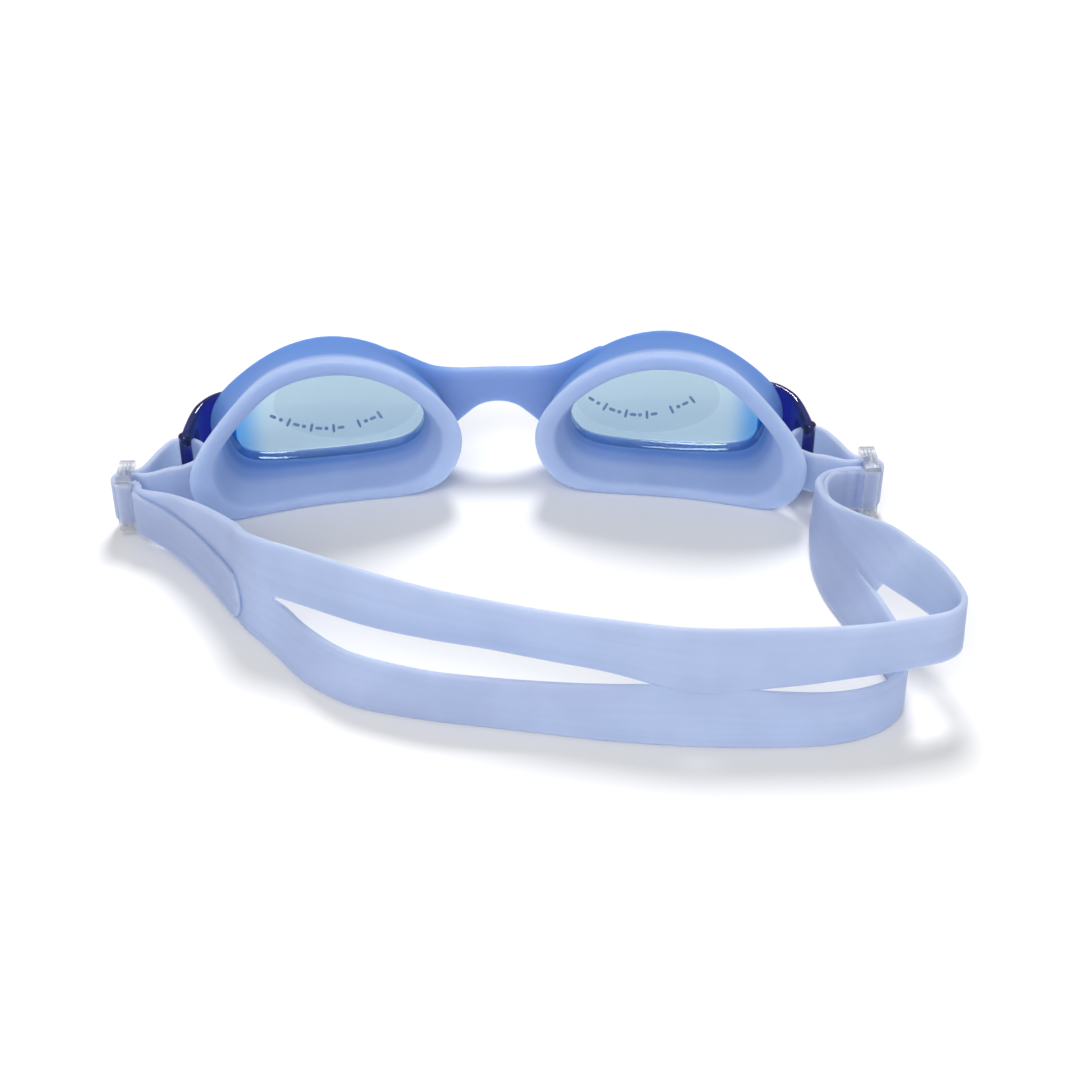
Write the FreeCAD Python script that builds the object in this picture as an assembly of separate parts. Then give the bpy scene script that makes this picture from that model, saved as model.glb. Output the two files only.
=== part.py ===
import FreeCAD, Part
import math
import os
from FreeCAD import Vector

# Swim goggles lying on their brow edge, cheek edge up, with the head strap looped behind them.
# Millimetres. The pair is symmetric about X = 0, the lenses face +Y, the wearer's side faces -Y
# and the flat surface that the goggles lie on is Z = 0. "right" is the +X side.
# Everything is moved at the very end so that the origin is under the middle of the whole object.

# ---- driving sizes: eye cups -------------------------------------------------------------
NOSE_GAP = 17.0            # between the two sealing rims at the nose
RIM_WIDTH = 62.5           # one sealing rim, nose to temple
RIM_HEIGHT = 38.2          # one sealing rim, brow to cheek
LIP_NOSE = 4.6             # width of the sealing lip at the nose
LIP_TEMPLE = 5.4           # at the temple
LIP_BROW = 2.8             # at the brow
LIP_CHEEK = 3.6            # at the cheek
CUP_DEPTH = 20.0           # lens front to sealing lip, beside the nose
TEMPLE_WRAP = 13.0         # how much further back the lip reaches at the temple
LENS_WIDTH = 46.6          # clear opening, nose to temple
LENS_HEIGHT = 26.3         # clear opening, brow to cheek
LENS_NOSE_X = 17.7         # nose end of the clear opening
WAIST = 3.8                # how far the temple wall draws in to clear the strap
LENS_BROW_Z = 2.7          # brow edge of the clear opening
FRAME_EDGE = 4.5           # silicone around the clear opening, at the front
FRAME_EDGE_BROW = 2.3      # the same at the brow, where the goggles lie on it
BRIDGE_HEIGHT = 9.0        # nose bridge at the middle
BRIDGE_DEPTH = 4.2
BRIDGE_MID_Z = 20.2

# ---- driving sizes: lenses, film ---------------------------------------------------------
PLATE = 1.8                # lens plate thickness
LENS_SWEEP = 4.0           # how far the lens front falls back at the temple
SKIRT_WALL = 1.2           # clear wall behind the plate that the silicone grips
SKIRT_DEPTH = 5.8          # front face to the back edge of that wall
LENS_PROUD = 0.4           # lens front ahead of the silicone front
WING_THICKNESS = 1.9       # side wing that carries the strap post
WING_LOW_Z = 2.6
WING_HIGH_Z = 19.4
WING_ROOT_RISE = 3.0       # the wing is this much taller where it leaves the lens
POST_RADIUS = 1.45
POST_X = 72.6
POST_Y = -21.8
WINDOW_MARGIN = 0.6        # window in the wing, above and below the strap
WINDOW_LENGTH = 8.6        # window in the wing, ahead of the post
FILM_WIDTH = 35.0
FILM_HEIGHT = 20.5
FILM_NOSE_MARGIN = 1.4     # film edge inside the clear opening
FILM_BROW_MARGIN = 1.9
FILM_THICKNESS = 0.25

# ---- driving sizes: strap and buckles ----------------------------------------------------
STRAP_END_WIDTH = 10.4     # single end of the strap
STRAP_THICKNESS = 1.4
WRAP_THICKNESS = 2.5       # two layers of strap end drawn round the buckle bar
LAYER_GAP = 0.3            # between the tail and the strap that it lies on
BUCKLE_THICKNESS = 3.4
BUCKLE_X = 84.0            # face toward the goggles
BUCKLE_MID_Y = -30.0
BUCKLE_RIM = 1.4           # wall around the two slots
BUCKLE_BAR = 2.0           # bar between the two slots
SLOT_CLEARANCE = 0.3       # strap to slot, each side
LOOP_REST_Z = 2.9          # lower edge of the strap inside the buckle
LOOP_POST_Z = 4.6          # lower edge of the strap at the post

MIRROR_PLANE = (Vector(0, 0, 0), Vector(1, 0, 0))


# ---- curves and surfaces ------------------------------------------------------------------
def periodic_poles(points, rounds=40):
    """Poles of the closed cubic curve that passes through the points."""
    poles = [Vector(p) for p in points]
    count = len(points)
    for _ in range(rounds):
        shift = []
        for i in range(count):
            through = (poles[i - 1] + poles[i] * 4 + poles[(i + 1) % count]) * (1 / 6)
            shift.append(points[i] - through)
        poles = [pole + move for pole, move in zip(poles, shift)]
    return poles


def closed_edge(points):
    """Closed smooth edge through the points."""
    curve = Part.BSplineCurve()
    curve.buildFromPolesMultsKnots(periodic_poles(points), [1] * (len(points) + 1),
                                   list(range(len(points) + 1)), True, 3)
    return curve.toShape()


def ring_solid(rows):
    """Closed ring whose wall section is rounded off the rows, one row per corner of the section."""
    grid = [periodic_poles(row) for row in rows]
    around, across = len(rows[0]), len(rows)
    surface = Part.BSplineSurface()
    surface.buildFromPolesMultsKnots(grid, [1] * (across + 1), [1] * (around + 1),
                                     list(range(across + 1)), list(range(around + 1)),
                                     True, True, 2, 3)
    return outward(Part.makeSolid(Part.makeShell([surface.toShape()])))


def outward(solid):
    """The same solid with its faces turned outward."""
    if solid.Volume < 0:
        solid.reverse()
    return solid


def prism(points_xz, y_from, y_to):
    """Closed smooth outline drawn in X and Z, stretched along Y."""
    wire = Part.Wire(closed_edge([Vector(x, y_from, z) for x, z in points_xz]))
    return outward(Part.Face(wire).extrude(Vector(0, y_to - y_from, 0)))


def plan_slab(edges, z_from, z_to):
    """Plan outline made of edges at Z = 0, stretched between two heights."""
    face = Part.Face(Part.Wire(Part.__sortEdges__(edges)))
    face.translate(Vector(0, 0, z_from))
    return outward(face.extrude(Vector(0, 0, z_to - z_from)))


def open_curve(points):
    curve = Part.BSplineCurve()
    curve.interpolate(points)
    return curve.toShape()


def mirrored(shape):
    return outward(shape.mirror(*MIRROR_PLANE))


def largest(shape):
    """The main solid of a cut or fused shape."""
    return max(shape.Solids, key=lambda solid: solid.Volume)


# ---- outlines of one eye, (share of width, share of height) from the nose end of the brow -----
# The order is nose, nose corner, brow x3, temple corner, temple, then back over the cheek edge.
RIM_SHAPE = [(0.000, 0.366), (0.080, 0.094), (0.280, 0.000), (0.584, 0.000), (0.840, 0.000),
             (0.960, 0.105), (1.000, 0.314), (0.960, 0.524), (0.856, 0.733), (0.712, 0.932),
             (0.536, 1.000), (0.360, 0.969), (0.184, 0.832), (0.048, 0.615)]
OPENING_SHAPE = [(0.000, 0.392), (0.062, 0.163), (0.242, 0.049), (0.543, 0.000), (0.833, 0.019),
                 (0.959, 0.141), (1.000, 0.365), (0.966, 0.574), (0.854, 0.757), (0.693, 0.920),
                 (0.500, 1.000), (0.307, 0.947), (0.146, 0.795), (0.043, 0.612)]

RIM_NOSE_X = NOSE_GAP / 2
LENS_TEMPLE_X = LENS_NOSE_X + LENS_WIDTH


def outline(shape, x_from, width, z_from, height):
    return [(x_from + width * a, z_from + height * b) for a, b in shape]


def between(first, second, share):
    """Outline part of the way from the first to the second."""
    return [(a[0] + (b[0] - a[0]) * share, a[1] + (b[1] - a[1]) * share)
            for a, b in zip(first, second)]


def drawn_in(points_xz, most):
    """The outline with its temple side drawn toward the nose, most at the temple itself."""
    middle = LENS_NOSE_X + LENS_WIDTH / 2
    reach = LENS_WIDTH / 2 + FRAME_EDGE
    return [(x - most * max(0.0, (x - middle) / reach) ** 3, z) for x, z in points_xz]


def front_y(x):
    """Front of the silicone: flat beside the nose, falling back toward the temple."""
    share = max(0.0, (x - LENS_NOSE_X) / LENS_WIDTH)
    return -LENS_SWEEP * share ** 3


def lip_y(x):
    """Back of the sealing lip, which wraps round the face toward the temple."""
    share = max(0.0, (x - RIM_NOSE_X) / RIM_WIDTH)
    return -CUP_DEPTH - TEMPLE_WRAP * share ** 2.2


def raised(points_xz, depth):
    """The outline with the Y that depth gives at each point."""
    return [Vector(x, depth(x), z) for x, z in points_xz]


OPENING = outline(OPENING_SHAPE, LENS_NOSE_X, LENS_WIDTH, LENS_BROW_Z, LENS_HEIGHT)
SKIRT = outline(OPENING_SHAPE, LENS_NOSE_X - SKIRT_WALL, LENS_WIDTH + 2 * SKIRT_WALL,
                LENS_BROW_Z - SKIRT_WALL, LENS_HEIGHT + 2 * SKIRT_WALL)
FRONT_RIM = outline(OPENING_SHAPE, LENS_NOSE_X - FRAME_EDGE, LENS_WIDTH + 2 * FRAME_EDGE,
                    LENS_BROW_Z - FRAME_EDGE_BROW, LENS_HEIGHT + FRAME_EDGE + FRAME_EDGE_BROW)
RIM_OUTER = outline(RIM_SHAPE, RIM_NOSE_X, RIM_WIDTH, 0.0, RIM_HEIGHT)
RIM_INNER = outline(RIM_SHAPE, RIM_NOSE_X + LIP_NOSE, RIM_WIDTH - LIP_NOSE - LIP_TEMPLE,
                    LIP_BROW, RIM_HEIGHT - LIP_BROW - LIP_CHEEK)


# ---- silicone frame -----------------------------------------------------------------------
def cup():
    """One eye cup: front edge, flaring wall, sealing lip, and back along the inside."""
    waist = drawn_in(between(FRONT_RIM, RIM_OUTER, 0.22), WAIST * 0.7)
    flare = drawn_in(between(FRONT_RIM, RIM_OUTER, 0.66), WAIST)
    rows = [raised(FRONT_RIM, front_y),
            raised(FRONT_RIM, lambda x: front_y(x) - 2.6),
            raised(waist, lambda x: 0.62 * front_y(x) + 0.38 * lip_y(x)),
            raised(flare, lambda x: 0.26 * front_y(x) + 0.74 * lip_y(x)),
            raised(RIM_OUTER, lambda x: lip_y(x) + 1.6),
            raised(RIM_OUTER, lambda x: lip_y(x) - 0.5),
            raised(RIM_INNER, lambda x: lip_y(x) - 0.5),
            raised(between(RIM_INNER, OPENING, 0.10), lambda x: lip_y(x) + 2.6),
            raised(between(RIM_INNER, OPENING, 0.70), lambda x: 0.5 * front_y(x) + 0.5 * lip_y(x)),
            raised(OPENING, lambda x: front_y(x) - SKIRT_DEPTH - 1.0),
            raised(OPENING, front_y)]
    return ring_solid(rows)


def bridge():
    """Nose bridge: a rounded bar, arched underneath, that widens into both cups."""
    low_z = BRIDGE_MID_Z - BRIDGE_HEIGHT / 2
    high_z = BRIDGE_MID_Z + BRIDGE_HEIGHT / 2
    # distance from the middle as a share of the nose end of the lens, rise of the lower edge,
    # rise of the upper edge, and growth of the depth
    flare = ((0.0, 0.0, 0.0, 1.0), (0.25, -1.0, 0.0, 1.03), (0.48, -4.2, 0.1, 1.15),
             (0.69, -7.2, 0.5, 1.33), (0.88, -5.2, 1.2, 1.48), (1.13, 4.8, 2.9, 1.2),
             (1.39, 10.9, 4.9, 0.76))
    sections = [(share, high_z + above - low_z - below, BRIDGE_DEPTH * grow,
                 (high_z + above + low_z + below) / 2)
                for share, below, above, grow in flare]
    mirrored_sections = [(-share, *rest) for share, *rest in reversed(sections[1:])]
    wires = []
    for share, height, depth, mid_z in mirrored_sections + sections:
        mid_y = -depth / 2 - 0.2
        points = []
        for step in range(8):
            angle = math.pi / 4 * step
            flat = 1.12 if step % 2 else 1.0
            points.append(Vector(LENS_NOSE_X * share, mid_y + math.cos(angle) * depth / 2 * flat,
                                 mid_z + math.sin(angle) * height / 2 * flat))
        wires.append(Part.Wire(closed_edge(points)))
    bar = outward(Part.makeLoft(wires, True, False))
    hollow = prism(OPENING, -CUP_DEPTH, LENS_PROUD + 2.0)
    return largest(bar.cut([hollow, mirrored(hollow)]))


def face_frame(lens_solids):
    right = cup()
    whole = bridge().fuse([right, mirrored(right)])
    return largest(whole.cut(lens_solids))


# ---- lens ---------------------------------------------------------------------------------
def lens_body():
    """Front plate with a clear wall behind its edge."""
    tall = (-6.0, RIM_HEIGHT + 6.0)
    steps = [LENS_NOSE_X - 6.0 + (LENS_WIDTH + 12.0) * i / 6 for i in range(7)]

    def band(ahead, behind):
        front = [Vector(x, front_y(x) + ahead, 0) for x in steps]
        back = [Vector(x, front_y(x) - behind, 0) for x in steps]
        edges = [open_curve(front), open_curve(back),
                 Part.makeLine(front[0], back[0]), Part.makeLine(front[-1], back[-1])]
        return plan_slab(edges, *tall)

    outer = prism(SKIRT, -SKIRT_DEPTH - LENS_SWEEP - 4.0, LENS_PROUD + 2.0)
    hollow = prism(OPENING, -SKIRT_DEPTH - LENS_SWEEP - 6.0, LENS_PROUD + 4.0)
    block = outer.common(band(LENS_PROUD, SKIRT_DEPTH))
    return block.cut(hollow.common(band(LENS_PROUD - PLATE, SKIRT_DEPTH + 2.0)))


def wing():
    """Side wing from the lens edge back to the strap post, with the window for the strap."""
    root_x = LENS_TEMPLE_X - 0.6
    root_y = front_y(root_x) + LENS_PROUD - WING_THICKNESS / 2
    path = [Vector(root_x, root_y, 0), Vector(root_x + 3.8, root_y - 1.5, 0),
            Vector(root_x + 7.6, root_y - 6.5, 0), Vector(POST_X - 0.6, POST_Y + 9.0, 0),
            Vector(POST_X, POST_Y, 0)]
    middle = Part.BSplineCurve()
    middle.interpolate(path)
    count = 9
    sides = ([], [])
    for i in range(count):
        at = middle.FirstParameter + (middle.LastParameter - middle.FirstParameter) * i / (count - 1)
        point = middle.value(at)
        along = Vector(*middle.tangent(at)[0])
        across = Vector(-along.y, along.x, 0) * (WING_THICKNESS / 2)
        sides[0].append(point + across)
        sides[1].append(point - across)
    edges = [open_curve(sides[0]), open_curve(sides[1]),
             Part.makeLine(sides[0][0], sides[1][0]), Part.makeLine(sides[0][-1], sides[1][-1])]
    blade = plan_slab(edges, WING_LOW_Z, WING_HIGH_Z + WING_ROOT_RISE)
    slope_y = POST_Y + WINDOW_LENGTH + 2.0
    corners = [Vector(0, POST_Y - 9.0, WING_HIGH_Z), Vector(0, slope_y, WING_HIGH_Z),
               Vector(0, 3.0, WING_HIGH_Z + WING_ROOT_RISE),
               Vector(0, 3.0, RIM_HEIGHT + 6.0), Vector(0, POST_Y - 9.0, RIM_HEIGHT + 6.0)]
    above = Part.Face(Part.makePolygon(corners + corners[:1])).extrude(Vector(POST_X * 2, 0, 0))
    blade = blade.cut(above)
    post = Part.makeCylinder(POST_RADIUS, WING_HIGH_Z - WING_LOW_Z,
                             Vector(POST_X, POST_Y, WING_LOW_Z))
    window_low = LOOP_POST_Z - WINDOW_MARGIN
    window_high = LOOP_POST_Z + STRAP_END_WIDTH + WINDOW_MARGIN
    window = Part.makeBox(12.0, WINDOW_LENGTH, window_high - window_low,
                          Vector(POST_X - 6.0, POST_Y + POST_RADIUS * 0.2, window_low))
    return blade.cut(window).fuse(post)


def lens():
    return largest(lens_body().fuse(wing()).removeSplitter())


def film():
    """Thin peel-off sheet on the flat part of the lens front."""
    mid_x = LENS_NOSE_X + FILM_NOSE_MARGIN + FILM_WIDTH / 2
    mid_z = LENS_BROW_Z + FILM_BROW_MARGIN + FILM_HEIGHT / 2
    centre = Vector(mid_x, 0, mid_z)
    ellipse = Part.Ellipse(centre + Vector(FILM_WIDTH / 2, 0, 0),
                           centre + Vector(0, 0, FILM_HEIGHT / 2), centre)
    column = Part.Face(Part.Wire(ellipse.toShape())).extrude(Vector(0, 12, 0))
    column = outward(column)
    column.translate(Vector(0, -6, 0))
    steps = [LENS_NOSE_X - 6.0 + (LENS_WIDTH + 12.0) * i / 6 for i in range(7)]
    low = [Vector(x, front_y(x) + LENS_PROUD, 0) for x in steps]
    high = [Vector(x, front_y(x) + LENS_PROUD + FILM_THICKNESS, 0) for x in steps]
    edges = [open_curve(low), open_curve(high),
             Part.makeLine(low[0], high[0]), Part.makeLine(low[-1], high[-1])]
    return largest(column.common(plan_slab(edges, -6.0, RIM_HEIGHT + 6.0)))


# ---- buckle -------------------------------------------------------------------------------
SLOT_WIDTH = WRAP_THICKNESS + 2 * SLOT_CLEARANCE
SLOT_HEIGHT = STRAP_END_WIDTH + 2 * SLOT_CLEARANCE
BUCKLE_DEPTH = BUCKLE_BAR + 2 * SLOT_WIDTH + 2 * BUCKLE_RIM
BUCKLE_HEIGHT = SLOT_HEIGHT + 2 * BUCKLE_RIM


def buckle():
    """Clear slider: a rounded frame, two slots, one bar, and small grip ridges at the ends."""
    low_z = LOOP_REST_Z - SLOT_CLEARANCE - BUCKLE_RIM
    low_y = BUCKLE_MID_Y - BUCKLE_DEPTH / 2
    body = Part.makeBox(BUCKLE_THICKNESS, BUCKLE_DEPTH, BUCKLE_HEIGHT,
                        Vector(BUCKLE_X, low_y, low_z))
    long_edges = [edge for edge in body.Edges
                  if abs(edge.Vertexes[0].X - edge.Vertexes[1].X) > BUCKLE_THICKNESS / 2]
    body = body.makeFillet(BUCKLE_RIM * 0.85, long_edges)
    ridge_radius = 0.45
    for end_z in (low_z, low_z + BUCKLE_HEIGHT):
        for share in (0.25, 0.5, 0.75):
            ridge = Part.makeCylinder(ridge_radius, BUCKLE_DEPTH * 0.5,
                                      Vector(BUCKLE_X + BUCKLE_THICKNESS * share,
                                             BUCKLE_MID_Y - BUCKLE_DEPTH * 0.25, end_z),
                                      Vector(0, 1, 0))
            body = body.fuse(ridge)
    for side in (-1, 1):
        mid_y = BUCKLE_MID_Y + side * (BUCKLE_BAR + SLOT_WIDTH) / 2
        slot = Part.makeBox(BUCKLE_THICKNESS + 2.0, SLOT_WIDTH, SLOT_HEIGHT,
                            Vector(BUCKLE_X - 1.0, mid_y - SLOT_WIDTH / 2,
                                   LOOP_REST_Z - SLOT_CLEARANCE))
        body = body.cut(slot)
    hollow = Part.makeBox(BUCKLE_THICKNESS, BUCKLE_BAR + 1.0, SLOT_HEIGHT,
                          Vector(BUCKLE_X + BUCKLE_THICKNESS * 0.40,
                                 BUCKLE_MID_Y - BUCKLE_BAR / 2 - 0.5,
                                 LOOP_REST_Z - SLOT_CLEARANCE))
    return largest(body.cut(hollow))


# ---- strap --------------------------------------------------------------------------------
def ribbon(stations, thickness, grow=0.0):
    """Flat band through stations of (lower edge, upper edge); it never dips below Z = 0."""
    wires = []
    middles = [(low + high) * 0.5 for low, high in stations]
    for i, (low, high) in enumerate(stations):
        along = middles[min(i + 1, len(middles) - 1)] - middles[max(i - 1, 0)]
        up = (high - low).normalize()
        across = along.cross(up).normalize() * (thickness / 2)
        low = low - up * grow
        high = high + up * grow
        lift = max(0.0, abs(across.z) - low.z)
        low = low + Vector(0, 0, lift)
        corners = [low - across, low + across, high + across, high - across]
        wires.append(Part.makePolygon(corners + corners[:1]))
    return outward(Part.makeLoft(wires, True, False))


def shifted(stations, offset, from_low, width):
    """Stations of a narrower band beside the given one: offset along its outer normal."""
    result = []
    middles = [(low + high) * 0.5 for low, high in stations]
    for i, (low, high) in enumerate(stations):
        along = middles[min(i + 1, len(middles) - 1)] - middles[max(i - 1, 0)]
        up = (high - low).normalize()
        across = along.cross(up).normalize() * offset
        start = low + up * from_low + across
        result.append((start, start + up * width))
    return result


def edge_pair(low_xyz, high_xyz):
    return Vector(*low_xyz), Vector(*high_xyz)


WRAP_LOW = LOOP_REST_Z
WRAP_HIGH = LOOP_REST_Z + STRAP_END_WIDTH
LEG_NEAR_Y = BUCKLE_MID_Y - BUCKLE_BAR / 2 - SLOT_CLEARANCE - WRAP_THICKNESS / 2
LEG_FAR_Y = BUCKLE_MID_Y + BUCKLE_BAR / 2 + SLOT_CLEARANCE + WRAP_THICKNESS / 2
HEAD_Y = LEG_NEAR_Y + (WRAP_THICKNESS - STRAP_THICKNESS) / 2
TAIL_Y = LEG_NEAR_Y - (WRAP_THICKNESS - STRAP_THICKNESS) / 2 + 0.12


def wrap():
    """The two layers of strap end that pass through both slots and round the bar."""
    inner = BUCKLE_BAR / 2 + SLOT_CLEARANCE
    outer = inner + WRAP_THICKNESS
    centre_x = BUCKLE_X + BUCKLE_THICKNESS * 0.40
    start_x = BUCKLE_X - 1.6
    centre = Vector(centre_x, BUCKLE_MID_Y, 0)

    def at(x, y):
        return Vector(x, BUCKLE_MID_Y + y, 0)

    edges = [Part.makeLine(at(start_x, -outer), at(centre_x, -outer)),
             Part.Arc(at(centre_x, -outer), centre + Vector(outer, 0, 0),
                      at(centre_x, outer)).toShape(),
             Part.makeLine(at(centre_x, outer), at(start_x, outer)),
             Part.makeLine(at(start_x, outer), at(start_x, inner)),
             Part.makeLine(at(start_x, inner), at(centre_x, inner)),
             Part.Arc(at(centre_x, inner), centre + Vector(inner, 0, 0),
                      at(centre_x, -inner)).toShape(),
             Part.makeLine(at(centre_x, -inner), at(start_x, -inner)),
             Part.makeLine(at(start_x, -inner), at(start_x, -outer))]
    return plan_slab(edges, WRAP_LOW, WRAP_HIGH)


def post_loop():
    """Strap end that leaves the far slot, goes round the post and comes back to the same slot."""
    enter_x = BUCKLE_X - 0.4
    wide = 6.1
    tight = POST_X - 3.9
    plan = [(enter_x, LEG_FAR_Y - 0.82, 0.0), (BUCKLE_X - 3.6, LEG_FAR_Y - 1.4, 0.2),
            (POST_X + 3.4, POST_Y - wide, 0.6), (POST_X, POST_Y - wide + 0.4, 0.85),
            (POST_X - 3.0, POST_Y - wide + 2.6, 1.0), (tight, POST_Y, 1.0),
            (POST_X - 3.0, POST_Y + wide - 2.6, 1.0), (POST_X, POST_Y + wide - 0.4, 0.85),
            (POST_X + 3.6, POST_Y + wide - 0.4, 0.7), (POST_X + 6.4, POST_Y + wide - 3.6, 0.45),
            (BUCKLE_X - 2.4, LEG_FAR_Y + 2.4, 0.2), (enter_x, LEG_FAR_Y + 0.82, 0.0)]
    stations = []
    for x, y, share in plan:
        low_z = LOOP_REST_Z + (LOOP_POST_Z - LOOP_REST_Z) * share
        stations.append(edge_pair((x, y, low_z + 0.1), (x, y, low_z + STRAP_END_WIDTH - 0.1)))
    return ribbon(stations, STRAP_THICKNESS)


def end_pair(x, y, inset=0.0):
    """Single strap end standing upright, as it leaves the buckle."""
    return edge_pair((x, y, WRAP_LOW + inset), (x, y, WRAP_HIGH - inset))


# Edges of the single strap end and the yoke where the two bands part, buckle to head.
LEFT_YOKE = [end_pair(-BUCKLE_X + 0.4, HEAD_Y), end_pair(-BUCKLE_X + 1.5, HEAD_Y - 1.5),
             edge_pair((-81.4, -36.4, 2.3), (-81.2, -36.2, 13.6)),
             edge_pair((-74.2, -42.0, 0.9), (-73.6, -41.0, 15.2)),
             edge_pair((-66.6, -51.0, 0.2), (-65.8, -49.2, 17.7)),
             edge_pair((-58.9, -63.0, 0.0), (-57.7, -60.6, 21.0)),
             edge_pair((-55.6, -69.6, 0.0), (-54.4, -67.0, 22.8)),
             edge_pair((-52.4, -74.2, 0.0), (-51.0, -70.4, 23.8)),
             edge_pair((-49.0, -78.4, 0.0), (-47.6, -72.2, 24.0))]
RIGHT_YOKE = [end_pair(BUCKLE_X - 0.4, HEAD_Y), end_pair(BUCKLE_X - 1.8, HEAD_Y + 0.1),
              edge_pair((79.4, -32.9, 3.0), (79.4, -32.8, 13.6)),
              edge_pair((74.9, -35.0, 2.9), (75.0, -34.8, 13.9)),
              edge_pair((72.2, -39.4, 2.4), (72.5, -39.3, 14.3)),
              edge_pair((71.0, -46.4, 1.2), (73.6, -47.2, 14.9)),
              edge_pair((70.4, -54.4, 0.2), (77.6, -54.4, 16.4)),
              edge_pair((71.2, -63.6, 0.0), (83.4, -63.0, 18.8)),
              edge_pair((73.2, -71.8, 0.0), (86.6, -70.8, 20.6)),
              edge_pair((73.9, -74.0, 0.0), (87.3, -72.8, 21.0))]

# Edges of the two bands behind the head, left yoke to right yoke.
UPPER_BAND = [edge_pair((-51.9, -72.5, 11.8), (-51.0, -70.4, 23.5)),
              edge_pair((-46.8, -75.9, 12.1), (-46.2, -72.8, 23.7)),
              edge_pair((-41.4, -79.0, 12.2), (-41.0, -75.4, 23.6)),
              edge_pair((-28.6, -85.8, 12.0), (-28.4, -82.6, 23.6)),
              edge_pair((-16.2, -90.6, 12.0), (-16.0, -89.0, 23.7)),
              edge_pair((-4.0, -94.2, 12.0), (-4.0, -93.8, 23.8)),
              edge_pair((8.0, -98.4, 12.0), (8.0, -97.8, 23.8)),
              edge_pair((20.0, -102.6, 12.1), (20.0, -101.0, 23.8)),
              edge_pair((37.0, -109.0, 11.5), (37.0, -104.4, 23.8)),
              edge_pair((55.0, -108.4, 11.8), (55.0, -105.0, 23.8)),
              edge_pair((70.0, -106.2, 12.1), (70.0, -104.8, 23.9)),
              edge_pair((82.0, -103.6, 12.1), (81.8, -102.8, 24.0)),
              edge_pair((89.0, -101.2, 12.1), (88.6, -100.8, 24.0)),
              edge_pair((92.2, -97.2, 12.0), (91.8, -96.8, 24.0)),
              edge_pair((91.2, -91.0, 11.8), (91.6, -90.2, 23.7)),
              edge_pair((87.0, -83.0, 11.5), (90.0, -81.8, 22.8)),
              edge_pair((82.8, -76.4, 11.1), (87.8, -75.0, 21.6)),
              edge_pair((80.6, -72.6, 10.8), (86.4, -70.9, 20.4))]
LOWER_BAND = [edge_pair((-52.4, -74.2, 0.1), (-51.7, -72.4, 11.3)),
              edge_pair((-47.4, -81.0, 0.0), (-46.6, -77.0, 11.2)),
              edge_pair((-42.0, -88.6, 0.0), (-41.4, -84.2, 11.2)),
              edge_pair((-35.2, -94.6, 0.0), (-34.8, -91.4, 11.4)),
              edge_pair((-28.8, -98.2, 0.0), (-28.4, -95.8, 11.6)),
              edge_pair((-16.4, -101.8, 0.0), (-16.2, -100.8, 11.7)),
              edge_pair((-4.4, -104.4, 0.0), (-4.2, -103.4, 11.7)),
              edge_pair((7.8, -107.0, 0.0), (7.8, -105.2, 11.7)),
              edge_pair((20.0, -109.6, 0.0), (20.0, -106.2, 11.6)),
              edge_pair((37.0, -112.0, 0.0), (37.0, -106.9, 11.6)),
              edge_pair((53.0, -112.8, 0.0), (53.0, -109.6, 11.6)),
              edge_pair((65.0, -112.2, 0.0), (65.0, -110.2, 11.6)),
              edge_pair((74.0, -109.2, 0.0), (73.8, -108.2, 11.7)),
              edge_pair((79.4, -104.2, 0.0), (79.2, -103.8, 11.7)),
              edge_pair((81.0, -98.0, 0.0), (81.2, -98.2, 11.6)),
              edge_pair((79.8, -90.6, 0.0), (81.4, -91.0, 11.4)),
              edge_pair((77.0, -83.0, 0.0), (80.4, -83.4, 11.1)),
              edge_pair((74.8, -76.4, 0.0), (79.4, -76.8, 10.4)),
              edge_pair((73.4, -71.8, 0.0), (78.6, -71.9, 9.6))]


def strap():
    """One moulding: two bands, a yoke at each end, and single ends threaded to the posts."""
    yoke_thickness = STRAP_THICKNESS + 0.5
    body = ribbon(UPPER_BAND, STRAP_THICKNESS)
    pieces = [ribbon(LOWER_BAND, STRAP_THICKNESS),
              ribbon(LEFT_YOKE, yoke_thickness, 0.25),
              ribbon(RIGHT_YOKE, yoke_thickness, 0.25)]
    tail_offset = STRAP_THICKNESS + LAYER_GAP + 0.25
    left_tail = [end_pair(-BUCKLE_X + 0.9, TAIL_Y, 0.15),
                 end_pair(-BUCKLE_X + 1.2, TAIL_Y - 2.2, 0.15)]
    left_tail += shifted(LEFT_YOKE[2:7], tail_offset, 0.4, STRAP_END_WIDTH)
    right_tail = [end_pair(BUCKLE_X - 0.4, TAIL_Y, 0.15)]
    right_tail += shifted(RIGHT_YOKE[2:9], -tail_offset, 1.2, STRAP_END_WIDTH)
    pieces += [ribbon(left_tail, STRAP_THICKNESS), ribbon(right_tail, STRAP_THICKNESS)]
    for piece in (wrap(), post_loop()):
        pieces += [piece, mirrored(piece)]
    return body.fuse(pieces)


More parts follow.
